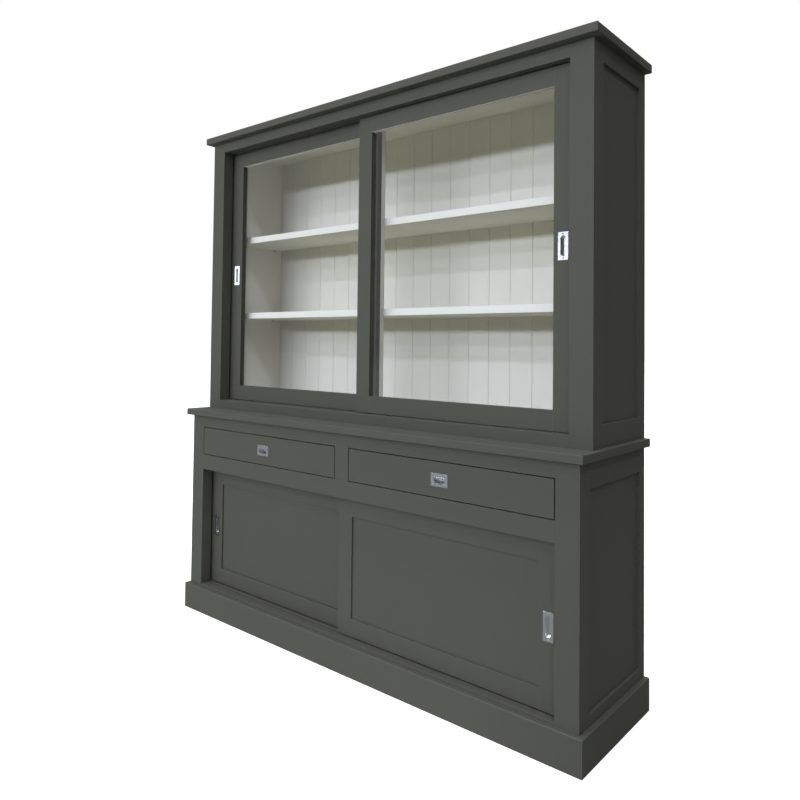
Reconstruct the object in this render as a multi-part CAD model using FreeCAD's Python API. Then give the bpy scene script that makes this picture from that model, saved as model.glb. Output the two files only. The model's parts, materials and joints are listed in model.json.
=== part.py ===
import FreeCAD, Part
import os

# China cabinet in two parts. The base has two drawers over two sliding panelled doors.
# The hutch stands on it, shallower, with two sliding glass doors in front of shelves.
# Millimetres. X runs across the width, the front faces -Y, +Z is up.
# The origin is on the floor, in the middle of the cabinet's outer box.

# Overall box
WIDTH = 2000.0
DEPTH = 515.0
HEIGHT = 2206.0
BACK = DEPTH / 2

# Carcasses
CARCASS_WIDTH = 1950.0
HALF = CARCASS_WIDTH / 2
BASE_DEPTH = 490.0
HUTCH_DEPTH = 405.0
BASE_FRONT = BACK - BASE_DEPTH
HUTCH_FRONT = BACK - HUTCH_DEPTH

# Base top board, cornice board and plinth
TOP_BOARD = 28.0
CORNICE_BOARD = 30.0
BASE_TOP = 916.0
BASE_UNDER_TOP = BASE_TOP - TOP_BOARD
TOP_OVERHANG = 20.0
HUTCH_TOP = HEIGHT - CORNICE_BOARD
CORNICE_OVERHANG = 30.0
BOARD_ROUND = 3.0
PLINTH_HEIGHT = 110.0
PLINTH_THICK = 18.0
PLINTH_ROUND = 4.0

# Face frames
FRAME_THICK = 25.0
FRAME_STILE = 80.0
OPENING = HALF - FRAME_STILE
BASE_BOTTOM_RAIL = (60.0, 120.0)
BASE_MIDDLE_RAIL = (643.0, 710.0)
BASE_TOP_RAIL = (836.0, BASE_UNDER_TOP)
HUTCH_BOTTOM_RAIL = (BASE_TOP, 955.0)
HUTCH_TOP_RAIL = (2130.0, HUTCH_TOP)
DRAWER_STILE = 70.0
DRAWER_STILE_TENON = (50.0, 20.0)
FRAME_TENON = (8.0, 17.0)
FRAME_TENON_LENGTH = 40.0
TENON_SHOULDER = 0.12

# Framed sides
SIDE_THICK = 28.0
SIDE_RECESS = 10.0
SIDE_PANEL = 12.0
PANEL_TONGUE = 8.0
SIDE_TENON_LENGTH = 24.0
LINING = 10.0
INSIDE = HALF - SIDE_THICK - LINING
BASE_SIDE_STILES = (64.0, 40.0)
HUTCH_SIDE_STILES = (68.0, 46.0)
BASE_SIDE_RAILS = ((0.0, 145.0), (805.0, BASE_UNDER_TOP))
HUTCH_SIDE_RAILS = ((BASE_TOP, 988.0), (2115.0, HUTCH_TOP))

# Sliding doors and their tracks
DOOR_THICK = 25.0
DOOR_GAP = 5.0
DOOR_STILE = 68.0
DOOR_OUTER = OPENING - 2.0
DOOR_LAP = 37.0
DOOR_TENON_LENGTH = 35.0
DOOR_CLEARANCE = 4.0
FRONT_DOOR = FRAME_THICK + DOOR_GAP
REAR_DOOR = FRONT_DOOR + DOOR_THICK + DOOR_GAP
TRACK_WIDTH = 2 * DOOR_THICK + 4 * DOOR_GAP
TRACK_REAR = FRAME_THICK + TRACK_WIDTH
TRACK_GROOVE = 12.0
BOTTOM_TRACK = 8.0
BOTTOM_GROOVE = 3.5
TOP_TRACK = 22.0
TOP_GROOVE = 16.0
HEAD_RISE = 2.0
BASE_SILL = BASE_BOTTOM_RAIL[1]
BASE_HEAD = BASE_MIDDLE_RAIL[0] + HEAD_RISE
HUTCH_SILL = HUTCH_BOTTOM_RAIL[1]
HUTCH_HEAD = HUTCH_TOP_RAIL[0] + HEAD_RISE
GUIDE_THICK = 10.0
GUIDE_LET_IN = 8.0
GUIDE_RISE = 12.0
GUIDE_END = 30.0
GLIDE_LENGTH = 60.0
GLIDE_INSET = 30.0
GLIDE_LET_IN = 15.0
GLIDE_BEVEL = 4.0
RUNNING_GAP = 0.1
SHADOW_GROOVE = 10.0
SHADOW_GROOVE_DEEP = 20.0
HUTCH_DOOR_RAILS = (65.0, 65.0)
BASE_DOOR_RAILS = (66.0, 69.0)
HUTCH_TENON = (2.0, 9.0)
GLASS_LIP = 10.0
GLASS = 4.0
GLASS_BITE = 8.0
REBATE = 10.0
DOOR_PANEL = (7.0, 15.0)
DOOR_PANEL_TONGUE = 10.0

# Boards inside
BOARD = 18.0
BASE_FLOOR = BASE_SILL - BOTTOM_TRACK
BASE_DECK = BASE_HEAD + TOP_TRACK
HUTCH_FLOOR = HUTCH_SILL - BOTTOM_TRACK
HUTCH_CEILING = HUTCH_HEAD + TOP_TRACK
BASE_BACK = 8.0
PARTITION = 20.0
PARTITION_SETBACK = 100.0
BASE_SHELF = 20.0
BASE_SHELF_Z = 370.0
BASE_SHELF_SETBACK = 120.0
CLEAT = 20.0
HUTCH_SHELF = 28.0
HUTCH_SHELF_Z = (1341.0, 1702.0)
HUTCH_SHELF_DEPTH = 290.0
POST = 40.0
POST_FRONT = HUTCH_DEPTH - TRACK_REAR
POST_REAR = 278.0
SHELF_PLAY = 0.5
BACK_BOARD = 9.0
BACK_BOARD_COUNT = 19
TONGUE = 4.0
TONGUE_FROM = 3.5
TONGUE_TO = 6.5
TONGUE_PLAY = 0.5
BOARD_BEVEL = 2.0
BOARD_SLOT = 0.8
PIN_RADIUS = 3.0
PIN_SUNK = 9.0
PIN_OUT = 12.0
PIN_DEPTHS = (60.0, 240.0)
STACKING_LENGTH = 60.0
STACKING_THICK = 10.0
STACKING_DOWN = 20.0
STACKING_UP = 30.0
STACKING_DEPTHS = (110.0, 290.0)

# Drawers
DRAWER_GAP = 3.5
DRAWER_FRONT = 22.0
DRAWER_SIDE = 14.0
DRAWER_LENGTH = 425.0
DRAWER_SIDE_HEIGHT = 115.0
DRAWER_BOTTOM = 6.0
DRAWER_BOTTOM_UP = 10.0
DRAWER_GROOVE = 6.0
TAIL_COUNT = 3
TAIL_LENGTH = 14.0
TAIL_ROOT = 22.0
TAIL_TIP = 30.0
RUNNER_PLAY = 0.5
RUNNER_TOP = BASE_MIDDLE_RAIL[1] + DRAWER_GAP - RUNNER_PLAY
RUNNER_LEDGE = 15.0
RUNNER_GUIDE = 50.0
KICKER = 30.0
KICKER_GAP = 3.0

# Pulls
PULL_WIDTH = 36.0
PULL_HEIGHT = 90.0
PULL_PLATE = 1.5
PULL_ROUND = 2.5
DISH_WIDTH = 18.0
DISH_HEIGHT = 66.0
DISH_DEPTH = 11.0
DISH_WALL = 1.5
PULL_X = DOOR_OUTER - DOOR_STILE / 2
HUTCH_PULL_Z = 1545.0
BASE_PULL_Z = 380.0
CUP_PLATE_WIDTH = 71.0
CUP_PLATE_HEIGHT = 45.0
CUP_PLATE = 2.0
CUP_WIDTH = 46.0
CUP_DEPTH = 11.0
CUP_WALL = 1.5
CUP_LIP = 7.0
CUP_ROOF = 14.0
CUP_SILL = -13.5
CUP_SLOPE = 10.0
LIP_ROUND = 2.0
CUP_Z = 772.5

# Two points nearer than this count as one
NEAR = 0.1


def block(x0, x1, y0, y1, z0, z1):
    """A square board between two opposite corners, given in either order."""
    x0, x1 = sorted((x0, x1))
    corner = FreeCAD.Vector(x0, y0, z0)
    return Part.makeBox(x1 - x0, y1 - y0, z1 - z0, corner)


def side_board(side):
    """A maker of boards that lie along one side of the cabinet, x counted from the middle."""
    def board(y0, y1, x0, x1, z0, z1):
        return block(side * x0, side * x1, y0, y1, z0, z1)
    return board


def prism(points, direction):
    """A solid swept from a closed outline of corners."""
    outline = Part.makePolygon(points + points[:1])
    return Part.Face(outline).extrude(direction)


def rounded_outline(x, y, z, width, height, radius):
    """An upright outline facing the front, with round corners and centred on x, z."""
    right = width / 2
    top = height / 2
    flat_x = right - radius
    flat_z = top - radius
    slant = radius * 0.5 ** 0.5
    edges = []
    corners = ((1, 1), (-1, 1), (-1, -1), (1, -1))
    starts = []
    ends = []
    for sx, sz in corners:
        on_side = FreeCAD.Vector(x + sx * right, y, z + sz * flat_z)
        on_end = FreeCAD.Vector(x + sx * flat_x, y, z + sz * top)
        middle = FreeCAD.Vector(x + sx * (flat_x + slant), y, z + sz * (flat_z + slant))
        first, last = (on_side, on_end) if sx * sz > 0 else (on_end, on_side)
        edges.append(Part.Arc(first, middle, last).toShape())
        starts.append(first)
        ends.append(last)
    for i in range(4):
        following = starts[(i + 1) % 4]
        if ends[i].distanceToPoint(following) > NEAR:
            edges.append(Part.LineSegment(ends[i], following).toShape())
    return Part.Wire(Part.__sortEdges__(edges))


def rounded_plate(x, y0, y1, z, width, height, radius):
    """A flat plate facing the front, with round corners."""
    outline = rounded_outline(x, y0, z, width, height, radius)
    return Part.Face(outline).extrude(FreeCAD.Vector(0, y1 - y0, 0))


def rounded(shape, radius, picked):
    """The shape with the edges whose middles are picked rounded over."""
    edges = [edge for edge in shape.Edges if picked(edge.CenterOfMass)]
    return shape.makeFillet(radius, edges)


def joined_frame(board, ends, faces, heights, stile_widths, rails, tenon, tenon_length):
    """Two stiles with rails tenoned between them, as two lists.

    board makes a piece from its run along the frame, its two faces and its heights.
    """
    start, end = ends
    bottom, top = heights
    inner_start = start + stile_widths[0]
    inner_end = end - stile_widths[1]
    stiles = [board(start, inner_start, *faces, bottom, top), board(inner_end, end, *faces, bottom, top)]
    made = []
    for low, high in rails:
        shoulder = TENON_SHOULDER * (high - low)
        rail = board(inner_start, inner_end, *faces, low, high)
        tongue = board(
            inner_start - tenon_length, inner_end + tenon_length, *tenon, low + shoulder, high - shoulder
        )
        stiles = [stile.cut(tongue) for stile in stiles]
        made.append(rail.fuse(tongue).removeSplitter())
    return stiles, made


def cut_all(shapes, tool):
    return [shape.cut(tool) for shape in shapes]


def save(name, shapes):
    """Write one node, made of one solid or a group of separate solids."""
    solids = shapes if isinstance(shapes, list) else [shapes]
    for solid in solids:
        assert solid.isValid() and len(solid.Solids) == 1, name
    shape = solids[0] if len(solids) == 1 else Part.makeCompound(solids)
    shape.exportStep(f"parts/{name}.step")


def top_board(half_width, front, bottom, top):
    """A thick board with its front and side edges rounded over, square at the back."""
    board = block(-half_width, half_width, front, BACK, bottom, top)

    def outer_edge(p):
        return p.y < BACK - NEAR and min(p.z - bottom, top - p.z) < NEAR

    return rounded(board, BOARD_ROUND, outer_edge)


def plinth():
    """Front board and two side boards, mitred where they meet and rounded along the top."""
    outer = HALF + PLINTH_THICK
    front = BASE_FRONT - PLINTH_THICK
    up = FreeCAD.Vector(0, 0, PLINTH_HEIGHT)
    boards = [prism([
        FreeCAD.Vector(-outer, front, 0),
        FreeCAD.Vector(outer, front, 0),
        FreeCAD.Vector(HALF, BASE_FRONT, 0),
        FreeCAD.Vector(-HALF, BASE_FRONT, 0),
    ], up)]
    for side in (-1, 1):
        boards.append(prism([
            FreeCAD.Vector(side * outer, front, 0),
            FreeCAD.Vector(side * outer, BACK, 0),
            FreeCAD.Vector(side * HALF, BACK, 0),
            FreeCAD.Vector(side * HALF, BASE_FRONT, 0),
        ], up))

    def outer_top(p):
        on_front = abs(p.y - front) < NEAR
        on_side = abs(abs(p.x) - outer) < NEAR
        return abs(p.z - PLINTH_HEIGHT) < NEAR and (on_front or on_side)

    return [rounded(board, PLINTH_ROUND, outer_top) for board in boards]


def face_frame(front, heights, rails):
    faces = (front, front + FRAME_THICK)
    tenon = (front + FRAME_TENON[0], front + FRAME_TENON[1])
    widths = (FRAME_STILE, FRAME_STILE)
    return joined_frame(block, (-HALF, HALF), faces, heights, widths, rails, tenon, FRAME_TENON_LENGTH)


def drawer_stile(rails):
    """The short stile between the drawers, tenoned into the rails above and below."""
    half = DRAWER_STILE / 2
    low = BASE_MIDDLE_RAIL[1]
    high = BASE_TOP_RAIL[0]
    width, length = DRAWER_STILE_TENON
    tenon_front, tenon_back = (BASE_FRONT + face for face in FRAME_TENON)
    tongue = block(-width / 2, width / 2, tenon_front, tenon_back, low - length, high + length)
    stile = block(-half, half, BASE_FRONT, BASE_FRONT + FRAME_THICK, low, high)
    return stile.fuse(tongue).removeSplitter(), cut_all(rails, tongue)


def framed_side(side, front, heights, stile_widths, rails):
    """One side of a carcass: stiles and rails round a panel set back from the outside."""
    board = side_board(side)
    inner = HALF - SIDE_THICK
    panel_faces = (HALF - SIDE_RECESS - SIDE_PANEL, HALF - SIDE_RECESS)
    ends = (front + FRAME_THICK, BACK)
    widths = (stile_widths[0] - FRAME_THICK, stile_widths[1])
    stiles, made_rails = joined_frame(
        board, ends, (inner, HALF), heights, widths, rails, panel_faces, SIDE_TENON_LENGTH
    )
    panel = board(
        front + stile_widths[0] - PANEL_TONGUE,
        BACK - stile_widths[1] + PANEL_TONGUE,
        *panel_faces,
        rails[0][1] - PANEL_TONGUE,
        rails[1][0] + PANEL_TONGUE,
    )
    return cut_all(stiles + made_rails, panel), panel


def lining(side, front, back, heights):
    return side_board(side)(front + TRACK_REAR, back, INSIDE, HALF - SIDE_THICK, *heights)


def groove_lines(front):
    """The middle of the front door's track and of the rear door's."""
    return [front + setback + DOOR_THICK / 2 for setback in (FRONT_DOOR, REAR_DOOR)]


def door_track(front, bottom, top, groove_from, groove_to):
    """A board behind the face frame with two grooves that run its whole length."""
    half = HALF - SIDE_THICK
    track = block(-half, half, front + FRAME_THICK, front + TRACK_REAR, bottom, top)
    for middle in groove_lines(front):
        reach = TRACK_GROOVE / 2
        track = track.cut(block(-half, half, middle - reach, middle + reach, groove_from, groove_to))
    return track


def jamb(side, front, bottom, top):
    """The post behind a face-frame stile that a closed door meets, grooved just in front of a rear door."""
    board = side_board(side)
    post = board(front + FRAME_THICK, front + TRACK_REAR, OPENING, HALF - SIDE_THICK, bottom, top)
    if side > 0:
        return post
    face = front + REAR_DOOR
    return post.cut(board(face - SHADOW_GROOVE, face, OPENING, OPENING + SHADOW_GROOVE_DEEP, bottom, top))


def step_out(first_edge, last_edge, reach, faces):
    """Four corners of an outline that goes out from one edge to its reach and comes back to another."""
    first, last = faces
    return [(first_edge, first), (reach, first), (reach, last), (last_edge, last)]


def back_boards(bottom, top):
    """Upright boards with bevelled edges, a fine slot apart, each tongue in its neighbour's groove."""
    pitch = 2 * INSIDE / BACK_BOARD_COUNT
    front = BACK - BACK_BOARD
    tongue_faces = (front + TONGUE_FROM, front + TONGUE_TO)
    boards = []
    for i in range(BACK_BOARD_COUNT):
        left = -INSIDE + i * pitch
        right = left + pitch
        face_left = left if i == 0 else left + BOARD_SLOT / 2
        face_right = right if i == BACK_BOARD_COUNT - 1 else right - BOARD_SLOT / 2
        outline = [
            (face_left + BOARD_BEVEL, front),
            (face_right - BOARD_BEVEL, front),
            (face_right, front + BOARD_BEVEL),
        ]
        if i < BACK_BOARD_COUNT - 1:
            outline += step_out(face_right, right, right + TONGUE, tongue_faces)
        outline += [(right, BACK), (left, BACK)]
        if i > 0:
            outline += step_out(left, face_left, left + TONGUE + TONGUE_PLAY, tongue_faces[::-1])
        outline.append((face_left, front + BOARD_BEVEL))
        points = [FreeCAD.Vector(x, y, bottom) for x, y in outline]
        boards.append(prism(points, FreeCAD.Vector(0, 0, top - bottom)))
    return boards


def hutch_shelf(bottom):
    half = INSIDE - SHELF_PLAY
    notch = POST / 2 + SHELF_PLAY
    board = block(-half, half, BACK - HUTCH_SHELF_DEPTH, BACK - BACK_BOARD, bottom, bottom + HUTCH_SHELF)
    front = BACK - HUTCH_SHELF_DEPTH
    return board.cut(block(-notch, notch, front, BACK - POST_REAR, bottom, bottom + HUTCH_SHELF))


def shelf_pin(x, y, shelf_bottom, direction):
    """A round peg just under a shelf, sunk in what carries it."""
    axis = FreeCAD.Vector(*direction)
    start = FreeCAD.Vector(x, y, shelf_bottom - PIN_RADIUS) - axis * PIN_SUNK
    return Part.makeCylinder(PIN_RADIUS, PIN_SUNK + PIN_OUT, start, axis)


def hutch_pins():
    """Pegs in the two linings, then pegs in the centre post."""
    lining_pins = {-1: [], 1: []}
    post_pins = []
    for z in HUTCH_SHELF_Z:
        for side in (-1, 1):
            for depth in PIN_DEPTHS:
                lining_pins[side].append(shelf_pin(side * INSIDE, BACK - depth, z, (-side, 0, 0)))
        post_pins.append(shelf_pin(0, BACK - POST_REAR, z, (0, 1, 0)))
    return lining_pins, post_pins


def base_shelf_cleats():
    """A strip under each end of both cupboard shelves, on the lining and on the partition."""
    cleats = []
    ends = (BASE_FRONT + BASE_SHELF_SETBACK + CLEAT, BACK - BASE_BACK)
    heights = (BASE_SHELF_Z - CLEAT, BASE_SHELF_Z)
    for side in (-1, 1):
        board = side_board(side)
        cleats.append(board(*ends, PARTITION / 2, PARTITION / 2 + CLEAT, *heights))
        cleats.append(board(*ends, INSIDE - CLEAT, INSIDE, *heights))
    return cleats


def socketed(shape, pieces):
    """The shape with a socket for each piece that goes into it."""
    for piece in pieces:
        shape = shape.cut(piece)
    return shape


def stacking_tongues(side):
    """Loose tongues that stand in the base top and keep the hutch in its place on it."""
    middle = HALF - SIDE_THICK / 2
    faces = (middle - STACKING_THICK / 2, middle + STACKING_THICK / 2)
    heights = (BASE_TOP - STACKING_DOWN, BASE_TOP + STACKING_UP)
    tongues = []
    for depth in STACKING_DEPTHS:
        start = BACK - depth - STACKING_LENGTH / 2
        tongues.append(side_board(side)(start, start + STACKING_LENGTH, *faces, *heights))
    return tongues


def drawer_guides():
    """A ledge with a side guide under each drawer edge, and a kicker strip over it."""
    guides = []
    back = BACK - BASE_BACK
    deck = BASE_DECK + BOARD
    front = BASE_FRONT + FRAME_THICK
    kicker_low = RUNNER_TOP + DRAWER_SIDE_HEIGHT + KICKER_GAP
    for side in (-1, 1):
        board = side_board(side)
        half_stile = DRAWER_STILE / 2
        for wall, edge, inward in ((INSIDE, OPENING, -1), (PARTITION / 2, half_stile, 1)):
            ledge_end = edge + inward * RUNNER_LEDGE
            ledge = board(front, back, *sorted((wall, ledge_end)), deck, RUNNER_TOP)
            guide = board(front, back, *sorted((wall, edge)), deck, RUNNER_TOP + RUNNER_GUIDE)
            guides.append(ledge.fuse(guide).removeSplitter())
            kicker_end = edge + inward * KICKER
            guides.append(board(front, back, *sorted((edge, kicker_end)), kicker_low, BASE_UNDER_TOP))
    return guides


def finger_pull(x, face, z):
    """A flush plate with a round-ended dish pressed in for the fingers, and the pocket it needs."""
    plate = rounded_plate(x, face - PULL_PLATE, face, z, PULL_WIDTH, PULL_HEIGHT, PULL_ROUND)
    shell_width = DISH_WIDTH + 2 * DISH_WALL
    shell_height = DISH_HEIGHT + 2 * DISH_WALL
    shell_end = face + DISH_DEPTH + DISH_WALL
    shell = rounded_plate(x, face, shell_end, z, shell_width, shell_height, shell_width / 2)
    dish = rounded_plate(
        x, face - PULL_PLATE, face + DISH_DEPTH, z, DISH_WIDTH, DISH_HEIGHT, DISH_WIDTH / 2
    )
    return plate.fuse(shell).cut(dish).removeSplitter(), shell


def cup_pull(x, face, z):
    """A recessed drawer pull: a plate with a lip over a hollow whose sill slopes out to the front."""
    half = CUP_WIDTH / 2
    front = face - CUP_PLATE
    plate = rounded_plate(x, front, face, z, CUP_PLATE_WIDTH, CUP_PLATE_HEIGHT, PULL_ROUND)
    shell_points = [
        (face, CUP_SILL - CUP_WALL),
        (face + CUP_DEPTH + CUP_WALL, CUP_SILL + CUP_SLOPE - CUP_WALL),
        (face + CUP_DEPTH + CUP_WALL, CUP_ROOF + CUP_WALL),
        (face, CUP_ROOF + CUP_WALL),
    ]
    hollow_points = [
        (front, CUP_SILL),
        (face, CUP_SILL),
        (face + CUP_DEPTH, CUP_SILL + CUP_SLOPE),
        (face + CUP_DEPTH, CUP_ROOF),
        (face, CUP_ROOF),
        (face, CUP_LIP),
        (front, CUP_LIP),
    ]

    def swept(points, reach):
        corners = [FreeCAD.Vector(x - reach, y, z + height) for y, height in points]
        return prism(corners, FreeCAD.Vector(2 * reach, 0, 0))

    lip = Part.makeCylinder(
        LIP_ROUND,
        2 * half,
        FreeCAD.Vector(x - half, face - CUP_PLATE / 2, z + CUP_LIP + LIP_ROUND / 2),
        FreeCAD.Vector(1, 0, 0),
    )
    pull = plate.fuse(swept(shell_points, half + CUP_WALL)).cut(swept(hollow_points, half)).fuse(lip)
    pocket = block(
        x - half - CUP_WALL,
        x + half + CUP_WALL,
        face,
        face + CUP_DEPTH + CUP_WALL,
        z + CUP_SILL - CUP_WALL,
        z + CUP_ROOF + CUP_WALL,
    )
    return pull.removeSplitter(), pocket


def door_guides(left, right, face, bottom, top):
    """A strip let into the door's top edge, and two glides let into its bottom edge."""
    middle = face + DOOR_THICK / 2
    reach = GUIDE_THICK / 2
    faces = (middle - reach, middle + reach)
    strip = block(left + GUIDE_END, right - GUIDE_END, *faces, top - GUIDE_LET_IN, top + GUIDE_RISE)
    glide_bottom = bottom - DOOR_CLEARANCE - BOTTOM_GROOVE + RUNNING_GAP
    glide_top = bottom + GLIDE_LET_IN
    half = GLIDE_LENGTH / 2
    glides = []
    inset = DOOR_STILE + GLIDE_INSET + half
    for x in (left + inset, right - inset):
        outline = [
            (x - half, glide_top),
            (x - half, glide_bottom + GLIDE_BEVEL),
            (x - half + GLIDE_BEVEL, glide_bottom),
            (x + half - GLIDE_BEVEL, glide_bottom),
            (x + half, glide_bottom + GLIDE_BEVEL),
            (x + half, glide_top),
        ]
        corners = [FreeCAD.Vector(along, faces[0], height) for along, height in outline]
        glides.append(prism(corners, FreeCAD.Vector(0, GUIDE_THICK, 0)))
    return [strip] + glides


def sliding_door(side, face, bottom, top, rail_heights, tenon, pull_z):
    """Stiles, rails, guides and pull of one door, and the inner edges of its frame."""
    left, right = (-DOOR_OUTER, DOOR_LAP) if side < 0 else (-DOOR_LAP, DOOR_OUTER)
    rails = ((bottom, bottom + rail_heights[0]), (top - rail_heights[1], top))
    faces = (face, face + DOOR_THICK)
    tenon_faces = (face + tenon[0], face + tenon[1])
    widths = (DOOR_STILE, DOOR_STILE)
    stiles, made_rails = joined_frame(
        block, (left, right), faces, (bottom, top), widths, rails, tenon_faces, DOOR_TENON_LENGTH
    )
    guides = door_guides(left, right, face, bottom, top)
    for guide in guides:
        stiles = cut_all(stiles, guide)
        made_rails = cut_all(made_rails, guide)
    pull, pocket = finger_pull(side * PULL_X, face, pull_z)
    stiles = cut_all(stiles, pocket)
    sight = (left + DOOR_STILE, right - DOOR_STILE, rails[0][1], rails[1][0])
    return stiles, made_rails, guides, pull, sight


def glass_door(name, side, face):
    bottom = HUTCH_SILL + DOOR_CLEARANCE
    top = HUTCH_HEAD - DOOR_CLEARANCE
    stiles, rails, guides, pull, sight = sliding_door(
        side, face, bottom, top, HUTCH_DOOR_RAILS, HUTCH_TENON, HUTCH_PULL_Z
    )
    left, right, low, high = sight
    rebate = block(
        left - REBATE, right + REBATE, face + GLASS_LIP, face + DOOR_THICK, low - REBATE, high + REBATE
    )
    glass_front = face + GLASS_LIP
    glass_back = glass_front + GLASS
    pane = block(
        left - GLASS_BITE, right + GLASS_BITE, glass_front, glass_back, low - GLASS_BITE, high + GLASS_BITE
    )
    bead_faces = (glass_back, face + DOOR_THICK)
    beads = [
        block(left - REBATE, left, *bead_faces, low - REBATE, high + REBATE),
        block(right, right + REBATE, *bead_faces, low - REBATE, high + REBATE),
        block(left, right, *bead_faces, low - REBATE, low),
        block(left, right, *bead_faces, high, high + REBATE),
    ]
    save(f"{name}_stiles", cut_all(stiles, rebate))
    save(f"{name}_rails", cut_all(rails, rebate))
    save(f"{name}_glass", pane)
    save(f"{name}_glazing_beads", beads)
    save(f"{name}_guides", guides)
    save(f"{name}_pull", pull)


def panel_door(name, side, face):
    bottom = BASE_SILL + DOOR_CLEARANCE
    top = BASE_HEAD - DOOR_CLEARANCE
    stiles, rails, guides, pull, sight = sliding_door(
        side, face, bottom, top, BASE_DOOR_RAILS, DOOR_PANEL, BASE_PULL_Z
    )
    left, right, low, high = sight
    panel = block(
        left - DOOR_PANEL_TONGUE,
        right + DOOR_PANEL_TONGUE,
        face + DOOR_PANEL[0],
        face + DOOR_PANEL[1],
        low - DOOR_PANEL_TONGUE,
        high + DOOR_PANEL_TONGUE,
    )
    save(f"{name}_stiles", cut_all(stiles, panel))
    save(f"{name}_rails", cut_all(rails, panel))
    save(f"{name}_panel", panel)
    save(f"{name}_guides", guides)
    save(f"{name}_pull", pull)


def dovetails(outer, inner, shoulder, bottom):
    """The tails at the front end of a drawer side, wider at the tip than at the root."""
    tails = []
    step = DRAWER_SIDE_HEIGHT / TAIL_COUNT
    for i in range(TAIL_COUNT):
        middle = bottom + (i + 0.5) * step
        tip = shoulder - TAIL_LENGTH
        tails.append(prism([
            FreeCAD.Vector(outer, shoulder, middle - TAIL_ROOT / 2),
            FreeCAD.Vector(outer, tip, middle - TAIL_TIP / 2),
            FreeCAD.Vector(outer, tip, middle + TAIL_TIP / 2),
            FreeCAD.Vector(outer, shoulder, middle + TAIL_ROOT / 2),
        ], FreeCAD.Vector(inner - outer, 0, 0)))
    return tails


def drawer(name, side):
    """A dovetailed box behind an inset front, with a recessed pull."""
    near = DRAWER_STILE / 2 + DRAWER_GAP
    far = OPENING - DRAWER_GAP
    low = BASE_MIDDLE_RAIL[1] + DRAWER_GAP
    high = BASE_TOP_RAIL[0] - DRAWER_GAP
    shoulder = BASE_FRONT + DRAWER_FRONT
    rear = shoulder + DRAWER_LENGTH
    front = block(side * near, side * far, BASE_FRONT, shoulder, low, high)
    bottom_low = low + DRAWER_BOTTOM_UP
    bottom_high = bottom_low + DRAWER_BOTTOM
    inner_near = near + DRAWER_SIDE
    inner_far = far - DRAWER_SIDE
    bottom = block(
        side * (inner_near - DRAWER_GROOVE),
        side * (inner_far + DRAWER_GROOVE),
        shoulder - DRAWER_GROOVE,
        rear,
        bottom_low,
        bottom_high,
    )
    walls = []
    for outer, inner in ((near, inner_near), (far, inner_far)):
        wall = block(side * outer, side * inner, shoulder, rear, low, low + DRAWER_SIDE_HEIGHT)
        for tail in dovetails(side * outer, side * inner, shoulder, low):
            front = front.cut(tail)
            wall = wall.fuse(tail)
        walls.append(wall.removeSplitter().cut(bottom))
    walls.append(block(
        side * inner_near, side * inner_far, rear - DRAWER_SIDE, rear, bottom_high, low + DRAWER_SIDE_HEIGHT
    ))
    pull, pocket = cup_pull(side * (near + far) / 2, BASE_FRONT, CUP_Z)
    save(f"{name}_front", front.cut(bottom).cut(pocket))
    save(f"{name}_walls", walls)
    save(f"{name}_bottom", bottom)
    save(f"{name}_pull", pull)


def base_carcass():
    save("plinth_boards", plinth())
    save("base_top_board", socketed(
        top_board(HALF + TOP_OVERHANG, -BACK, BASE_UNDER_TOP, BASE_TOP),
        stacking_tongues(-1) + stacking_tongues(1),
    ))
    rail_heights = (BASE_BOTTOM_RAIL, BASE_MIDDLE_RAIL, BASE_TOP_RAIL)
    stiles, rails = face_frame(BASE_FRONT, (0.0, BASE_UNDER_TOP), rail_heights)
    middle, rails = drawer_stile(rails)
    save("base_front_stiles", stiles)
    save("base_front_rails", rails)
    save("drawer_stile", middle)

    back = BACK - BASE_BACK
    half = HALF - SIDE_THICK
    front = BASE_FRONT + FRAME_THICK
    frames = []
    panels = []
    linings = []
    for side in (-1, 1):
        pieces, panel = framed_side(
            side, BASE_FRONT, (0.0, BASE_UNDER_TOP), BASE_SIDE_STILES, BASE_SIDE_RAILS
        )
        frames += pieces
        panels.append(panel)
        linings.append(lining(side, BASE_FRONT, back, (BASE_FLOOR, BASE_UNDER_TOP)))
    save("base_side_frames", frames)
    save("base_side_panels", panels)
    save("base_side_linings", linings)
    save("base_floor_board", block(-half, half, front, back, BASE_FLOOR - BOARD, BASE_FLOOR))
    save("drawer_deck", block(-INSIDE, INSIDE, front, back, BASE_DECK, BASE_DECK + BOARD))
    save("base_back_panel", block(-half, half, back, BACK, BASE_BOTTOM_RAIL[0], BASE_UNDER_TOP))
    thick = PARTITION / 2
    cupboard = block(-thick, thick, BASE_FRONT + PARTITION_SETBACK, back, BASE_FLOOR, BASE_DECK)
    between_drawers = block(-thick, thick, front, back, BASE_DECK + BOARD, BASE_UNDER_TOP)
    save("base_partitions", [cupboard, between_drawers])
    shelf_front = BASE_FRONT + BASE_SHELF_SETBACK
    save("base_shelves", [
        block(
            side * (thick + SHELF_PLAY),
            side * (INSIDE - SHELF_PLAY),
            shelf_front,
            back,
            BASE_SHELF_Z,
            BASE_SHELF_Z + BASE_SHELF,
        )
        for side in (-1, 1)
    ])
    save("base_shelf_cleats", base_shelf_cleats())
    save("drawer_guides", drawer_guides())


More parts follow.
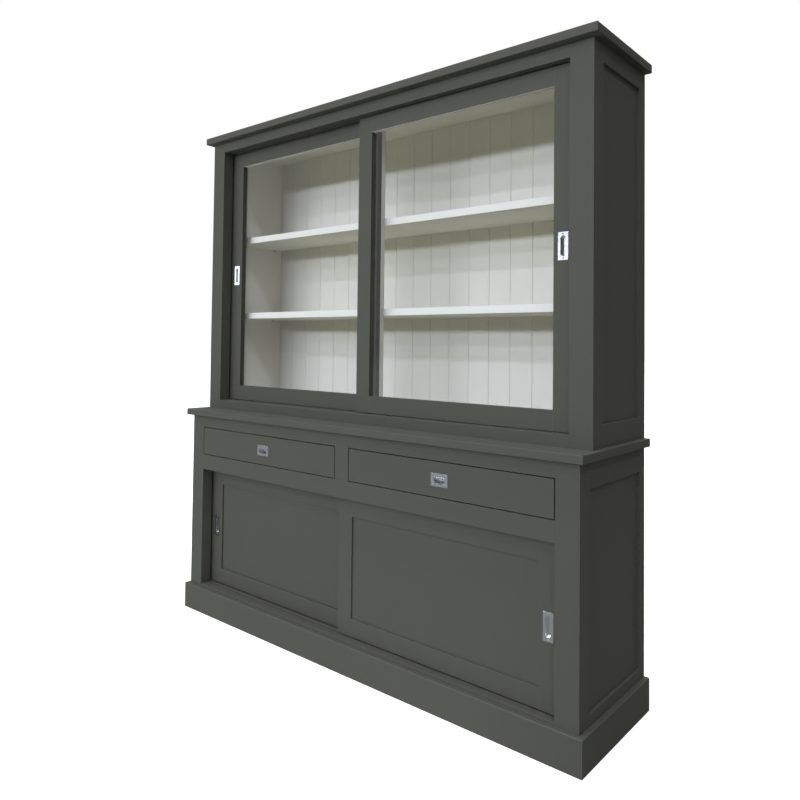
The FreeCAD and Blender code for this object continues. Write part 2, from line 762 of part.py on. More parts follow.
def hutch_carcass():
    stiles, rails = face_frame(HUTCH_FRONT, (BASE_TOP, HUTCH_TOP), (HUTCH_BOTTOM_RAIL, HUTCH_TOP_RAIL))
    save("hutch_front_stiles", stiles)
    save("hutch_front_rails", rails)
    half = HALF - SIDE_THICK
    front = HUTCH_FRONT + FRAME_THICK
    back = BACK - BACK_BOARD
    lining_pins, post_pins = hutch_pins()
    frames = []
    panels = []
    linings = []
    for side in (-1, 1):
        pieces, panel = framed_side(
            side, HUTCH_FRONT, (BASE_TOP, HUTCH_TOP), HUTCH_SIDE_STILES, HUTCH_SIDE_RAILS
        )
        frames += [socketed(piece, stacking_tongues(side)) for piece in pieces]
        panels.append(panel)
        board = lining(side, HUTCH_FRONT, BACK, (HUTCH_FLOOR, HUTCH_CEILING))
        linings.append(socketed(board, lining_pins[side]))
    save("hutch_side_frames", frames)
    save("hutch_side_panels", panels)
    save("hutch_side_linings", linings)
    save("hutch_floor_board", block(-half, half, front, back, HUTCH_FLOOR - BOARD, HUTCH_FLOOR))
    save("hutch_ceiling_board", block(-half, half, front, back, HUTCH_CEILING, HUTCH_TOP))
    save("hutch_back_boards", back_boards(HUTCH_FLOOR - BOARD, HUTCH_TOP))
    save("hutch_shelves", [hutch_shelf(z) for z in HUTCH_SHELF_Z])
    post = block(-POST / 2, POST / 2, BACK - POST_FRONT, BACK - POST_REAR, HUTCH_FLOOR, HUTCH_CEILING)
    save("hutch_centre_post", socketed(post, post_pins))
    save("cornice_board", top_board(WIDTH / 2, HUTCH_FRONT - CORNICE_OVERHANG, HUTCH_TOP, HEIGHT))
    save("stacking_tongues", stacking_tongues(-1) + stacking_tongues(1))
    save("shelf_pins", lining_pins[-1] + lining_pins[1] + post_pins)


def sliding_gear():
    tracks = []
    jambs = []
    for front, sill, head in ((BASE_FRONT, BASE_SILL, BASE_HEAD), (HUTCH_FRONT, HUTCH_SILL, HUTCH_HEAD)):
        tracks.append(door_track(front, sill - BOTTOM_TRACK, sill, sill - BOTTOM_GROOVE, sill))
        tracks.append(door_track(front, head, head + TOP_TRACK, head, head + TOP_GROOVE))
        for side in (-1, 1):
            jambs.append(jamb(side, front, sill, head))
    save("door_tracks", tracks)
    save("door_jambs", jambs)


os.makedirs("parts", exist_ok=True)
base_carcass()
hutch_carcass()
sliding_gear()
glass_door("hutch_left_door", -1, HUTCH_FRONT + REAR_DOOR)
glass_door("hutch_right_door", 1, HUTCH_FRONT + FRONT_DOOR)
panel_door("base_left_door", -1, BASE_FRONT + REAR_DOOR)
panel_door("base_right_door", 1, BASE_FRONT + FRONT_DOOR)
drawer("left_drawer", -1)
drawer("right_drawer", 1)
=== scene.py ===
import json
import math

import bmesh
import bpy
from mathutils import Matrix, Vector


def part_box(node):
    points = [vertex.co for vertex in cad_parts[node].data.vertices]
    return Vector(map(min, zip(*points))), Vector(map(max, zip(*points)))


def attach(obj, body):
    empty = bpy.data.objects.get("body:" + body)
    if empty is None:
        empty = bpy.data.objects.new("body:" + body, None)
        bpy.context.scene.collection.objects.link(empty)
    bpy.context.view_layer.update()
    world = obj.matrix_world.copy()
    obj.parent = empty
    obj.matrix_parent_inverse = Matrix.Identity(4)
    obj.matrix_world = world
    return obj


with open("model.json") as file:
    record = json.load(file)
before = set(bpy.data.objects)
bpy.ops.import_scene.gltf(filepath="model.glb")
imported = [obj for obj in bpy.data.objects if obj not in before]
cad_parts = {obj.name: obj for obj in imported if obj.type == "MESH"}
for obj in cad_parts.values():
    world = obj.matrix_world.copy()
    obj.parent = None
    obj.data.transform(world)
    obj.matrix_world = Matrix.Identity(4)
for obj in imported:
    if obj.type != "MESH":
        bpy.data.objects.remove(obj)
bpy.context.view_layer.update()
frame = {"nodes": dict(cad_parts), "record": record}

# A two-part china cabinet in dark olive-grey satin paint, with a pale painted inside behind
# sliding glass doors, and bright plated pulls. Metres, in the cabinet's own frame.
MM = 0.001
NODES = frame["nodes"]
SLOT_OF = {part["node"]: part["material_slot"] for part in frame["record"]["subparts"]}

# Camera, as the photograph was taken: eye, turn, and lens in pixels of an 800 pixel wide picture
EYE = Vector((1.899, -2.1405, 1.231))
YAW = math.radians(40.25)
PITCH = math.radians(1.7)
ROLL = math.radians(0.66)
PICTURE = 800
LENS_PIXELS = 703.6
AXIS_PIXEL = (400.0, 322.5)
SENSOR = 36.0

# Colours, linear
OLIVE = (0.0710, 0.0715, 0.0521)
# Lighter edge colours, here and for the pale paint: partly wear, partly a painted highlight where edges
# catch light
OLIVE_EDGE = (0.140, 0.141, 0.116)
PALE = (0.760, 0.738, 0.660)
PALE_EDGE = (0.900, 0.890, 0.860)
# Painted highlight: whiter paint for the shelves' front faces, standing in for the light they catch
PALE_PAINTED_HIGHLIGHT = (0.940, 0.915, 0.850)
PLATED = (0.780, 0.785, 0.790)
PLATED_DULL = (0.300, 0.305, 0.310)
STEEL = (0.520, 0.520, 0.510)
NYLON = (0.030, 0.030, 0.030)
# The next two: painted shade, dark felt-like colours for the face where the glass doors meet
SHADE_STRIP = (0.022, 0.023, 0.018)
SHADE_STRIP_NAP = (0.044, 0.045, 0.036)
OAK_LIGHT = (0.520, 0.360, 0.210)
OAK_DARK = (0.330, 0.200, 0.100)
GLASS_TINT = (0.985, 0.995, 0.990)
GLASS_SHADE = (0.535, 0.556, 0.380)

# Floor: its colour to the camera, in mirrors, and as it throws light back before and behind the
# cabinet. It glows white to the camera, less near the cabinet so that the shadow shows.
FLOOR = (0.500, 0.500, 0.500)
FLOOR_MIRRORED = (0.172, 0.180, 0.158)
FLOOR_FRONT = (0.800, 0.800, 0.800)
FLOOR_BEHIND = (0.220, 0.220, 0.220)
FLOOR_GLOW_NEAR = 0.80
FLOOR_GLOW_REACH = (1.2, 5.0)
FLOOR_TURN = (-0.30, 0.20)
FLOOR_SIDE = (0.60, 1.10)
FLOOR_SPAN = 60.0
FLOOR_DROP = 0.5 * MM

# Sky: white to the camera, faint as a light, and in between in mirrors. Rises are heights of the
# view between which it grows to its full strength.
SKY = 0.28
SKY_RISE = (0.1, 0.6)
GLOSS_SHARE = 0.06
GLOSS_SKY = 0.50
GLOSS_RISE = (0.35, 0.75)

# Lamps: three strips far off in front that draw steps of light under the shelves, a steep one from
# the right, fills from above, from the right side and from behind, and a card that the pulls of
# the hutch mirror. The hutch's pulls are out of the strips' light.
HUTCH_PULLS = ("hutch_left_door_pull", "hutch_right_door_pull")
LAMP_DISTANCE = 30.0
LAMP_AIM = Vector((0.0, -0.10, 1.10))
LAMP_COLOUR = (0.945, 0.980, 1.17)
# Each lamp: elevation, azimuth, shift to the right, width, height, watts
STRIPS = (
    (12.5, 0.0, -4.0, 32.0, 2.1, 4400.0),
    (23.0, 0.0, -4.0, 32.0, 1.0, 1250.0),
    (33.0, 0.0, -4.0, 32.0, 0.7, 1850.0),
    (45.5, 45.0, 0.0, 4.0, 1.5, 1400.0),
)
FILLS = (
    (84.0, 0.0, 0.0, 18.0, 6.0, 6500.0),
    (14.0, 82.0, 0.0, 10.0, 8.0, 850.0),
    (25.0, 205.0, 0.0, 24.0, 10.0, 2000.0),
)
PULL_CARD = (7.0, -60.0, 0.0, 50.0, 6.0, 2100.0)

# Patterns of the finishes, in spots per metre: one number, along and across a board, or by axis.
# Reliefs are the heights of a bump, and gloss is the shader's specular level. The turn of worn and
# painted-highlight edges, the figure of wood and the tarnish of plating are levels between which they
# grow.
PAINT_STROKES = (6.0, 420.0)
PAINT_CLOUDS = 5.0
PAINT_PEEL = 520.0
PAINT_CHIPS = 60.0
PAINT_RELIEF = 0.05 * MM
PAINT_GLOSS = 0.15
OLIVE_ROUGHNESS = 0.60
PALE_ROUGHNESS = 0.55
SHELF_FRONT_ROUGHNESS = 0.50
WEAR_AND_SHEEN_RADIUS = 2.5 * MM
WEAR_AND_SHEEN_TURN = (0.02, 0.25)
WEAR_AND_SHEEN_SAMPLES = 4
WOOD_WANDER = (1.6, 14.4)
WOOD_RINGS = (1.5, 60.0)
WOOD_PORES = (14.0, 900.0)
WOOD_FIGURE = (0.35, 0.68)
WOOD_RELIEF = 0.12 * MM
WOOD_GLOSS = 0.35
PLATE_LINES = (900.0, 900.0, 60.0)
PLATE_SMUDGES = 90.0
PLATE_TARNISH = (0.42, 0.85)
PLATE_RELIEF = 0.01 * MM
STEEL_LINES = (300.0, 1200.0, 1200.0)
NYLON_MOTTLE = 180.0
NYLON_GRAIN = 1400.0
NYLON_RELIEF = 0.02 * MM
# Felt-like pattern of the painted shade on the doors' meeting edge
SHADE_STRIP_FIBRES = 900.0
SHADE_STRIP_TUFTS = 160.0
SHADE_STRIP_RELIEF = 0.15 * MM
SHADE_STRIP_GLOSS = 0.1
GLASS_WAVES = 7.0
GLASS_INDEX = 1.45

# How squarely a face looks one way to be chosen for another finish
FACING = 0.9

# Edges of boards and pulls, and the angles from which an edge is rounded or parts its faces
BOARD_EDGE = 0.9 * MM
PULL_EDGE = 0.35 * MM
EDGE_STEPS = 2
EDGE_ANGLE = math.radians(35)
CRISP_ANGLE = math.radians(50)
SAME_POINT = 0.01 * MM
SAME_PLANE = math.radians(0.5)

# Screws of the pulls: rings of the head from its foot up, how far up a face looks that the cross
# is cut in, the cross, the turns at which screws stop, and where they sit
SCREW_SIDES = 24
SCREW_RINGS = (
    (3.0 * MM, -0.3 * MM),
    (3.0 * MM, 0.1 * MM),
    (2.7 * MM, 0.4 * MM),
    (2.0 * MM, 0.65 * MM),
    (1.0 * MM, 0.8 * MM),
)
SCREW_TOP = 0.5
CROSS_HALF = 0.4 * MM
CROSS_REACH = 1.8 * MM
CROSS_DEPTH = 0.7 * MM
SCREW_STOPS = (12.0, 71.0, 38.0, 55.0)
FINGER_SCREW = 39.0 * MM
DRAWER_PLATE = 2.0 * MM
DRAWER_SCREW = (28.0 * MM, 16.5 * MM)


class Signal:
    """One socket of a finish. Sums and products of signals become Math nodes."""

    def __init__(self, finish, socket):
        self.finish = finish
        self.socket = socket

    def math(self, operation, *values):
        return self.finish.node("ShaderNodeMath", {"operation": operation}, dict(enumerate(values)))

    def __add__(self, other):
        return self.math("ADD", self, other)

    def __radd__(self, other):
        return self.math("ADD", other, self)

    def __sub__(self, other):
        return self.math("SUBTRACT", self, other)

    def __rsub__(self, other):
        return self.math("SUBTRACT", other, self)

    def __mul__(self, other):
        return self.math("MULTIPLY", self, other)

    def __rmul__(self, other):
        return self.math("MULTIPLY", other, self)

    def between(self, low, high):
        """0 at low and below, 1 at high and above."""
        return self.finish.node(
            "ShaderNodeMapRange", {"clamp": True}, {"Value": self, "From Min": low, "From Max": high}
        )


class Finish:
    """A material, or the world's light, made node by node."""

    def __init__(self, owner):
        owner.use_nodes = True
        self.owner = owner
        self.tree = owner.node_tree
        self.tree.nodes.clear()

    def find(self, sockets, key):
        if isinstance(key, int):
            return sockets[key]
        for socket in sockets:
            if key in (socket.identifier, socket.name):
                return socket
        raise KeyError(key)

    def node(self, kind, settings=None, values=None, output=0):
        """Any node: its type, its settings, then the values or links of its sockets."""
        made = self.tree.nodes.new(kind)
        for name, setting in (settings or {}).items():
            setattr(made, name, setting)
        for key, value in (values or {}).items():
            socket = self.find(made.inputs, key)
            if isinstance(value, Signal):
                self.tree.links.new(value.socket, socket)
            elif isinstance(value, tuple) and socket.type == "RGBA":
                socket.default_value = (*value, 1.0)
            else:
                socket.default_value = value
        if not made.outputs:
            return None
        return Signal(self, self.find(made.outputs, output))

    def place(self, scale=(1.0, 1.0, 1.0)):
        """Where a point is on its piece, in metres, stretched by scale."""
        coords = self.node("ShaderNodeTexCoord", output="Object")
        return self.node("ShaderNodeVectorMath", {"operation": "MULTIPLY"}, {0: coords, 1: scale})

    def noise(self, coords, scale, detail, roughness=0.5, distortion=0.0):
        return self.node("ShaderNodeTexNoise", None, {
            "Vector": coords,
            "Scale": scale,
            "Detail": detail,
            "Roughness": roughness,
            "Distortion": distortion,
        })

    def mix(self, share, first, second):
        """A colour between two colours."""
        return self.node(
            "ShaderNodeMix",
            {"data_type": "RGBA"},
            {"Factor_Float": share, "A_Color": first, "B_Color": second},
            "Result_Color",
        )

    def shade(self, colour, amount):
        """A colour made lighter or darker by a signal around 1."""
        grey = self.node(
            "ShaderNodeCombineColor", None, {"Red": amount, "Green": amount, "Blue": amount}
        )
        return self.node(
            "ShaderNodeMix",
            {"data_type": "RGBA", "blend_type": "MULTIPLY"},
            {"Factor_Float": 1.0, "A_Color": colour, "B_Color": grey},
            "Result_Color",
        )

    def bump(self, height, distance, strength):
        return self.node(
            "ShaderNodeBump", None, {"Height": height, "Distance": distance, "Strength": strength}
        )

    def surface(self, values):
        return self.node("ShaderNodeBsdfPrincipled", None, values)

    def done(self, shader):
        self.node("ShaderNodeOutputMaterial", None, {"Surface": shader})
        return self.owner


def new_finish(name):
    return Finish(bpy.data.materials.new(name))


def along(axis, lengthwise, crosswise):
    """A stretch that draws a pattern out along one axis."""
    return tuple(lengthwise if i == axis else crosswise for i in range(3))


def edge_wear_and_sheen(finish):
    """0 on the flat and towards 1 near an edge."""
    eased = finish.node("ShaderNodeBevel", {"samples": WEAR_AND_SHEEN_SAMPLES}, {"Radius": WEAR_AND_SHEEN_RADIUS})
    flat = finish.node("ShaderNodeNewGeometry", output="Normal")
    same = finish.node(
        "ShaderNodeVectorMath", {"operation": "DOT_PRODUCT"}, {0: eased, 1: flat}, "Value"
    )
    return (1.0 - same).between(*WEAR_AND_SHEEN_TURN)


def paint(name, colour, edge_colour, axis, roughness):
    """Brushed satin paint: faint strokes along the board, soft clouds, edges lighter partly as wear and
    partly as a painted highlight.
    """
    finish = new_finish(name)
    spot = finish.place()
    strokes = finish.noise(finish.place(along(axis, *PAINT_STROKES)), 1.0, 3.0, 0.6)
    clouds = finish.noise(spot, PAINT_CLOUDS, 3.0)
    peel = finish.noise(spot, PAINT_PEEL, 2.0)
    board = finish.node("ShaderNodeNewGeometry", output="Random Per Island")
    tone = 0.955 + 0.05 * clouds + 0.035 * strokes + 0.02 * board
    # Edges lightened partly as wear and partly as a painted highlight
    wear_and_sheen = edge_wear_and_sheen(finish) * (0.25 + 0.5 * finish.noise(spot, PAINT_CHIPS, 3.0))
    body = finish.mix(wear_and_sheen, finish.shade(colour, tone), edge_colour)
    relief = strokes * 0.7 + peel * 0.3
    return finish.done(finish.surface({
        "Base Color": body,
        "Roughness": roughness - 0.06 + 0.08 * clouds + 0.05 * strokes,
        "Specular IOR Level": PAINT_GLOSS,
        "Normal": finish.bump(relief, PAINT_RELIEF, 0.5),
    }))


def oiled_wood(name, axis):
    """Pale hardwood with grain lines and pores along the board."""
    finish = new_finish(name)
    wander = finish.noise(finish.place(along(axis, *WOOD_WANDER)), 1.0, 3.0)
    rings = finish.noise(finish.place(along(axis, *WOOD_RINGS)), 1.0, 4.0, distortion=0.6)
    pores = finish.noise(finish.place(along(axis, *WOOD_PORES)), 1.0, 2.0)
    board = finish.node("ShaderNodeNewGeometry", output="Random Per Island")
    figure = (rings * 0.7 + wander * 0.3).between(*WOOD_FIGURE)
    colour = finish.mix(figure, OAK_LIGHT, OAK_DARK)
    tone = 0.9 + 0.14 * board + 0.08 * pores
    return finish.done(finish.surface({
        "Base Color": finish.shade(colour, tone),
        "Roughness": 0.5 + 0.14 * pores,
        "Specular IOR Level": WOOD_GLOSS,
        "Normal": finish.bump(pores * 0.6 + rings * 0.4, WOOD_RELIEF, 0.5),
    }))


def plated_metal(name):
    """Bright plating with fine polishing lines, duller where hands and dust reach."""
    finish = new_finish(name)
    lines = finish.noise(finish.place(PLATE_LINES), 1.0, 2.0)
    smudge = finish.noise(finish.place(), PLATE_SMUDGES, 4.0)
    tarnish = (smudge * 0.7 + lines * 0.3).between(*PLATE_TARNISH) * 0.45
    return finish.done(finish.surface({
        "Base Color": finish.mix(tarnish, PLATED, PLATED_DULL),
        "Metallic": 1.0,
        "Roughness": 0.13 + 0.12 * smudge + 0.06 * lines,
        "Normal": finish.bump(lines, PLATE_RELIEF, 0.3),
    }))


def turned_steel(name):
    """Grey steel with fine turning lines."""
    finish = new_finish(name)
    lines = finish.noise(finish.place(STEEL_LINES), 1.0, 2.0)
    return finish.done(finish.surface({
        "Base Color": finish.mix(lines, STEEL, PLATED_DULL),
        "Metallic": 1.0,
        "Roughness": 0.28 + 0.15 * lines,
    }))


def moulded_nylon(name):
    """Black nylon with a faint mottle and a fine grain."""
    finish = new_finish(name)
    spot = finish.place()
    mottle = finish.noise(spot, NYLON_MOTTLE, 3.0)
    grain = finish.noise(spot, NYLON_GRAIN, 2.0)
    return finish.done(finish.surface({
        "Base Color": finish.shade(NYLON, 0.93 + 0.14 * mottle),
        "Roughness": 0.42 + 0.16 * mottle,
        "Normal": finish.bump(grain, NYLON_RELIEF, 0.4),
    }))


def painted_shade_strip(name):
    """Painted shade: a dark, felt-like finish with a fine nap, put on the face where two doors meet to
    darken it.
    """
    finish = new_finish(name)
    spot = finish.place()
    nap = finish.noise(spot, SHADE_STRIP_FIBRES, 3.0, 0.6)
    tufts = finish.noise(spot, SHADE_STRIP_TUFTS, 2.0)
    return finish.done(finish.surface({
        "Base Color": finish.mix(nap * 0.6 + tufts * 0.4, SHADE_STRIP, SHADE_STRIP_NAP),
        "Roughness": 0.86 + 0.1 * tufts,
        "Specular IOR Level": SHADE_STRIP_GLOSS,
        "Normal": finish.bump(nap, SHADE_STRIP_RELIEF, 0.5),
    }))


def clear_glass(name):
    """Clear float glass that lets lamplight through to the shelves, and less of the light that
    surfaces throw back."""
    finish = new_finish(name)
    waves = finish.noise(finish.place(), GLASS_WAVES, 2.0)
    pane = finish.surface({
        "Base Color": GLASS_TINT,
        "Transmission Weight": 1.0,
        "IOR": GLASS_INDEX,
        "Roughness": 0.004 + 0.006 * waves,
    })
    lamp = finish.node("ShaderNodeLightPath", output="Is Shadow Ray")
    bounce = finish.node("ShaderNodeLightPath", output="Is Diffuse Ray")
    clear = finish.node("ShaderNodeBsdfTransparent", None, {"Color": GLASS_TINT})
    shaded = finish.node("ShaderNodeBsdfTransparent", None, {"Color": GLASS_SHADE})
    open_pane = finish.node("ShaderNodeMixShader", None, {0: lamp, 1: pane, 2: clear})
    return finish.done(finish.node("ShaderNodeMixShader", None, {0: bounce, 1: open_pane, 2: shaded}))


AXES = "xyz"
OLIVE_PAINT = [
    paint(f"olive_paint_{letter}", OLIVE, OLIVE_EDGE, axis, OLIVE_ROUGHNESS)
    for axis, letter in enumerate(AXES)
]
PALE_PAINT = [
    paint(f"pale_paint_{letter}", PALE, PALE_EDGE, axis, PALE_ROUGHNESS)
    for axis, letter in enumerate(AXES)
]
# Painted highlight: whiter paint on the shelves' front faces
SHELF_FRONT_PAINTED_HIGHLIGHT = paint("shelf_front_painted_highlight", PALE_PAINTED_HIGHLIGHT, PALE_EDGE, 0, SHELF_FRONT_ROUGHNESS)
# Painted shade for the left glass door's meeting edge
DOOR_SHADE_STRIP = painted_shade_strip("painted_shade_strip")
BARE_WOOD = [oiled_wood(f"oiled_wood_{letter}", axis) for axis, letter in enumerate(AXES)]
FINISH_OF = {
    "olive_paint": OLIVE_PAINT,
    "pale_paint": PALE_PAINT,
    "bare_wood": BARE_WOOD,
    "clear_glass": [clear_glass("clear_glass")],
    "plated_metal": [plated_metal("plated_metal")],
    "guide_plastic": [moulded_nylon("moulded_nylon")],
    "pin_steel": [turned_steel("turned_steel")],
}


def solids_of(mesh):
    """The polygons of each separate solid, and the solid's longest axis."""
    places = {}
    root = []
    for vertex in mesh.vertices:
        key = tuple(round(c / SAME_POINT) for c in vertex.co)
        root.append(places.setdefault(key, vertex.index))

    def top(i):
        while root[i] != i:
            root[i] = root[root[i]]
            i = root[i]
        return i

    for polygon in mesh.polygons:
        first = top(polygon.vertices[0])
        for other in polygon.vertices[1:]:
            root[top(other)] = first
    groups = {}
    for polygon in mesh.polygons:
        groups.setdefault(top(polygon.vertices[0]), []).append(polygon)
    for polygons in groups.values():
        points = [mesh.vertices[i].co for polygon in polygons for i in polygon.vertices]
        spans = [max(p[i] for p in points) - min(p[i] for p in points) for i in range(3)]
        yield polygons, spans.index(max(spans))


def dress(node):
    """Give a node its finish, with the grain along each board."""
    obj = NODES[node]
    finishes = FINISH_OF[SLOT_OF[node]]
    obj.data.materials.clear()
    for finish in finishes:
        obj.data.materials.append(finish)
    if len(finishes) == len(AXES):
        for polygons, axis in solids_of(obj.data):
            for polygon in polygons:
                polygon.material_index = axis


def refinish(node, finish, chosen):
    """Give the chosen faces of a node another finish."""
    mesh = NODES[node].data
    mesh.materials.append(finish)
    for polygon in mesh.polygons:
        if chosen(polygon):
            polygon.material_index = len(mesh.materials) - 1


def ease_edges(node, width):
    """Break the sharp edges of a node, so that they catch the light."""
    obj = NODES[node]
    weld = obj.modifiers.new("one_skin", "WELD")
    weld.merge_threshold = SAME_POINT
    flat = obj.modifiers.new("whole_faces", "DECIMATE")
    flat.decimate_type = "DISSOLVE"
    flat.angle_limit = SAME_PLANE
    ease = obj.modifiers.new("eased_edges", "BEVEL")
    ease.width = width
    ease.segments = EDGE_STEPS
    ease.limit_method = "ANGLE"
    ease.angle_limit = EDGE_ANGLE
    ease.miter_outer = "MITER_ARC"
    ease.harden_normals = True
    part = obj.modifiers.new("crisp_edges", "EDGE_SPLIT")
    part.split_angle = CRISP_ANGLE
    part.use_edge_sharp = False
    level = obj.modifiers.new("flat_faces", "WEIGHTED_NORMAL")
    level.keep_sharp = False


def screw_head():
    """A low domed head with a cross cut in it, pointing up."""
    head = bmesh.new()
    rings = []
    turns = [math.tau * i / SCREW_SIDES for i in range(SCREW_SIDES)]
    for radius, height in SCREW_RINGS:
        points = [(radius * math.cos(t), radius * math.sin(t), height) for t in turns]
        rings.append([head.verts.new(point) for point in points])
    for low, high in zip(rings, rings[1:]):
        for i in range(SCREW_SIDES):
            j = (i + 1) % SCREW_SIDES
            head.faces.new((low[i], low[j], high[j], high[i]))
    head.faces.new(rings[-1])
    head.faces.new(rings[0][::-1])
    for axis in (Vector((1.0, 0.0, 0.0)), Vector((0.0, 1.0, 0.0))):
        for place in (-CROSS_REACH, -CROSS_HALF, CROSS_HALF, CROSS_REACH):
            everything = head.verts[:] + head.edges[:] + head.faces[:]
            bmesh.ops.bisect_plane(head, geom=everything, plane_co=axis * place, plane_no=axis)
    head.normal_update()
    cross = []
    for face in head.faces:
        middle = face.calc_center_median()
        short, long = sorted((abs(middle.x), abs(middle.y)))
        if face.normal.z > SCREW_TOP and short < CROSS_HALF and long < CROSS_REACH:
            cross.append(face)
    made = bmesh.ops.extrude_face_region(head, geom=cross)["geom"]
    sunk = [item for item in made if isinstance(item, bmesh.types.BMVert)]
    bmesh.ops.translate(head, verts=sunk, vec=(0.0, 0.0, -CROSS_DEPTH))
    left_over = [face for face in cross if face.is_valid]
    bmesh.ops.delete(head, geom=left_over, context="FACES_ONLY")
    return head


def drive_screws(name, body, places):
    """Screw heads at places on a plate that faces the front, each stopped at its own turn."""
    parts = bmesh.new()
    for number, (x, y, z) in enumerate(places):
        head = screw_head()
        stop = Matrix.Rotation(math.radians(SCREW_STOPS[number % len(SCREW_STOPS)]), 4, "Z")
        outward = Matrix.Rotation(math.radians(90), 4, "X")
        head.transform(Matrix.Translation((x, y, z)) @ outward @ stop)
        loose = bpy.data.meshes.new("screw")
        head.to_mesh(loose)
        head.free()
        parts.from_mesh(loose)
        bpy.data.meshes.remove(loose)
    mesh = bpy.data.meshes.new(name)
    parts.to_mesh(mesh)
    parts.free()
    mesh.materials.append(FINISH_OF["pin_steel"][0])
    screws = bpy.data.objects.new(name, mesh)
    bpy.context.scene.collection.objects.link(screws)
    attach(screws, body)


def screw_finger_pull(door):
    """One screw above the dish of a finger pull and one below."""
    low, high = (Vector(corner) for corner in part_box(f"{door}_pull"))
    middle = (low + high) / 2
    places = [(middle.x, low.y, middle.z + side * FINGER_SCREW) for side in (1, -1)]
    drive_screws(f"{door}_pull_screws", door, places)


def screw_drawer_pull(drawer):
    """A screw in each corner of a drawer pull's plate."""
    low, high = (Vector(corner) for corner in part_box(f"{drawer}_pull"))
    middle = (low + high) / 2
    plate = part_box(f"{drawer}_front")[0][1] - DRAWER_PLATE
    across, up = DRAWER_SCREW
    places = [(middle.x + sx * across, plate, middle.z + sz * up) for sx in (-1, 1) for sz in (1, -1)]
    drive_screws(f"{drawer}_pull_screws", drawer, places)


def look_along(eye, yaw, pitch, roll):
    """The camera's place and turn: it looks to the back, turned left by yaw and up by pitch."""
    right = Vector((math.cos(yaw), math.sin(yaw), 0.0))
    level = Vector((-math.sin(yaw), math.cos(yaw), 0.0))
    up = Vector((0.0, 0.0, 1.0))
    ahead = level * math.cos(pitch) + up * math.sin(pitch)
    over = up * math.cos(pitch) - level * math.sin(pitch)
    side = right * math.cos(roll) + over * math.sin(roll)
    above = over * math.cos(roll) - right * math.sin(roll)
    turn = Matrix((side, above, -ahead)).transposed()
    return Matrix.Translation(eye) @ turn.to_4x4()


def set_camera():
    """The photograph's camera."""
    data = bpy.data.cameras.new("camera")
    data.sensor_width = SENSOR
    data.lens = LENS_PIXELS / PICTURE * SENSOR
    data.shift_x = (PICTURE / 2 - AXIS_PIXEL[0]) / PICTURE
    data.shift_y = (AXIS_PIXEL[1] - PICTURE / 2) / PICTURE
    camera = bpy.data.objects.new("camera", data)
    camera.matrix_world = look_along(EYE, YAW, PITCH, ROLL)
    bpy.context.scene.collection.objects.link(camera)
    bpy.context.scene.camera = camera


def seen_directly(finish, mirrored):
    """1 for what the camera sees, straight or through glass, and the mirrored share for reflections."""
    path = finish.node("ShaderNodeLightPath", output="Is Camera Ray")
    glossy = finish.node("ShaderNodeLightPath", output="Is Glossy Ray")
    through = finish.node("ShaderNodeLightPath", output="Is Transmission Ray")
    return path.math("MAXIMUM", path, path.math("MAXIMUM", glossy * mirrored, through))


def group_of(name, endings, link_state):
    """Pieces that a lamp lights or is blocked by alone, or that it passes by."""
    group = bpy.data.collections.new(name)
    for node in NODES:
        if node.endswith(endings):
            group.objects.link(NODES[node])
    for member in group.collection_objects:
        member.light_linking.link_state = link_state
    return group


def set_surround():
    """A white surround that lights the cabinet only faintly, from above."""
    world = bpy.data.worlds.new("studio")
    bpy.context.scene.world = world
    finish = Finish(world)
    ways = finish.node("ShaderNodeTexCoord", output="Generated")
    rise = finish.node("ShaderNodeSeparateXYZ", None, {0: ways}, "Z")
    seen = seen_directly(finish, GLOSS_SHARE + (GLOSS_SKY - GLOSS_SHARE) * rise.between(*GLOSS_RISE))
    strength = seen + (1.0 - seen) * (SKY * rise.between(*SKY_RISE))
    light = finish.node("ShaderNodeBackground", None, {"Color": (1.0, 1.0, 1.0), "Strength": strength})
    finish.node("ShaderNodeOutputWorld", None, {"Surface": light})


def lay_floor():
    """A pale floor, white to the camera, that keeps the cabinet's shadow and throws light back."""
    finish = new_finish("studio_floor")
    spot = finish.node("ShaderNodeNewGeometry", output="Position")
    away = finish.node("ShaderNodeVectorMath", {"operation": "LENGTH"}, {0: spot}, "Value")
    share = FLOOR_GLOW_NEAR + (1.0 - FLOOR_GLOW_NEAR) * away.between(*FLOOR_GLOW_REACH)
    glow = finish.node("ShaderNodeEmission", None, {
        "Color": (1.0, 1.0, 1.0),
        "Strength": share * seen_directly(finish, GLOSS_SHARE),
    })
    camera = finish.node("ShaderNodeLightPath", output="Is Camera Ray")
    glossy = finish.node("ShaderNodeLightPath", output="Is Glossy Ray")
    deep = finish.node("ShaderNodeSeparateXYZ", None, {0: spot}, "Y").between(*FLOOR_TURN)
    beside = finish.node("ShaderNodeSeparateXYZ", None, {0: spot}, "X").between(*FLOOR_SIDE)
    bounce = finish.mix(deep.math("MAXIMUM", deep, beside), FLOOR_FRONT, FLOOR_BEHIND)
    matt = finish.node("ShaderNodeBsdfDiffuse", None, {
        "Color": finish.mix(camera, finish.mix(glossy, bounce, FLOOR_MIRRORED), FLOOR),
    })
    material = finish.done(finish.node("ShaderNodeAddShader", None, {0: glow, 1: matt}))
    mesh = bpy.data.meshes.new("studio_floor")
    turns = ((-1, -1), (1, -1), (1, 1), (-1, 1))
    mesh.from_pydata([(x * FLOOR_SPAN, y * FLOOR_SPAN, 0.0) for x, y in turns], [], [(0, 1, 2, 3)])
    mesh.materials.append(material)
    floor = bpy.data.objects.new("studio_floor", mesh)
    floor.location.z = -FLOOR_DROP
    bpy.context.scene.collection.objects.link(floor)


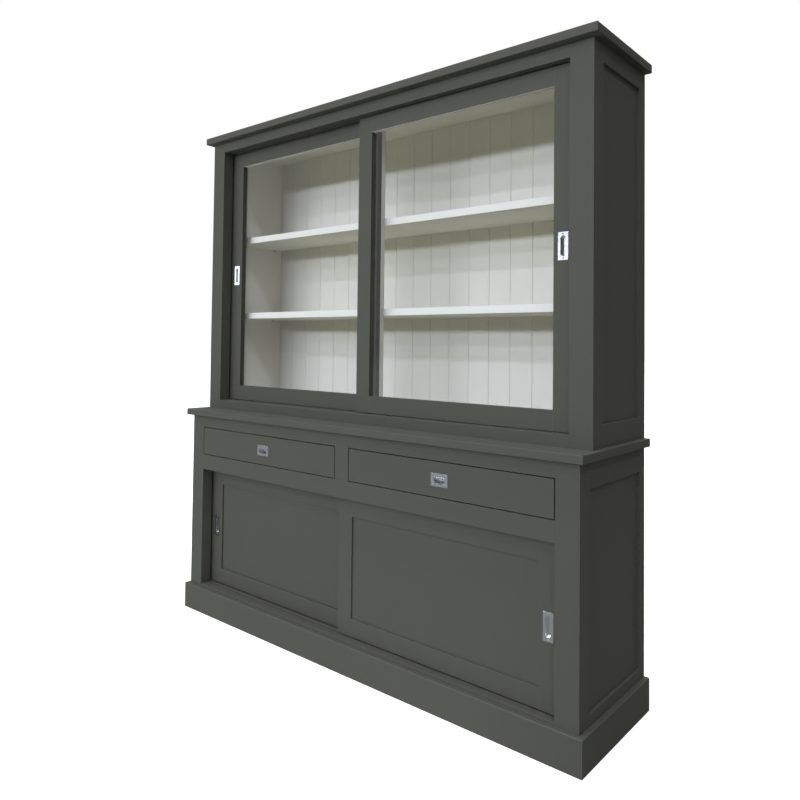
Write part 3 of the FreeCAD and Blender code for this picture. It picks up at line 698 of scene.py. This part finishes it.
def hang_lamp(name, lit, elevation, azimuth, shift, width, height, watts):
    """A soft light for some pieces, turned to the middle of the cabinet and moved sideways by shift."""
    up = math.radians(elevation)
    turn = math.radians(azimuth)
    back = Vector((math.sin(turn) * math.cos(up), -math.cos(turn) * math.cos(up), math.sin(up)))
    data = bpy.data.lights.new(name, "AREA")
    data.shape = "RECTANGLE"
    data.size = width
    data.size_y = height
    data.energy = watts
    data.color = LAMP_COLOUR
    lamp = bpy.data.objects.new(name, data)
    aside = Vector((math.cos(turn), math.sin(turn), 0.0))
    lamp.location = LAMP_AIM + back * LAMP_DISTANCE + aside * shift
    lamp.rotation_mode = "QUATERNION"
    lamp.rotation_quaternion = back.to_track_quat("Z", "Y")
    lamp.visible_camera = False
    lamp.light_linking.receiver_collection = lit
    bpy.context.scene.collection.objects.link(lamp)
    return lamp


for node in NODES:
    dress(node)
    if not node.endswith("_glass"):
        ease_edges(node, PULL_EDGE if node.endswith("_pull") else BOARD_EDGE)

# Painted light: the shelves' front faces get whiter paint as a painted highlight, the glass doors'
# downward rail and bead faces pale paint as a painted highlight, and the left glass door's meeting edge
# a dark felt-like finish as painted shade
refinish("hutch_shelves", SHELF_FRONT_PAINTED_HIGHLIGHT, lambda face: face.normal.y < -FACING)
# Painted highlight: pale paint on the downward faces of the glass doors' rails and beads, for the line
# of light their lower edges catch
for door in ("hutch_left_door", "hutch_right_door"):
    for part in ("rails", "glazing_beads"):
        refinish(f"{door}_{part}", PALE_PAINT[0], lambda face: face.normal.z < -FACING)
# Painted shade: the left glass door's face where it meets the right one gets the dark felt-like finish
meeting_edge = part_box("hutch_left_door_stiles")[1][0] - MM
refinish(
    "hutch_left_door_stiles",
    DOOR_SHADE_STRIP,
    lambda face: face.normal.x > FACING and face.center.x > meeting_edge,
)

for door in ("hutch_left_door", "hutch_right_door", "base_left_door", "base_right_door"):
    screw_finger_pull(door)
for drawer in ("left_drawer", "right_drawer"):
    screw_drawer_pull(drawer)

set_camera()
set_surround()
lay_floor()
no_panes = group_of("no_panes", ("_glass",), "EXCLUDE")
no_hutch_pulls = group_of("no_hutch_pulls", ("_glass", *HUTCH_PULLS), "EXCLUDE")
for number, lamp in enumerate(STRIPS):
    hang_lamp(f"strip_{number}", no_hutch_pulls, *lamp)
for number, lamp in enumerate(FILLS):
    hang_lamp(f"fill_{number}", no_panes, *lamp)
card = hang_lamp("pull_card", group_of("hutch_pulls", HUTCH_PULLS, "INCLUDE"), *PULL_CARD)
card.light_linking.blocker_collection = group_of("no_stiles", ("_front_stiles", "door_jambs"), "EXCLUDE")

bpy.context.scene.view_settings.view_transform = "Standard"
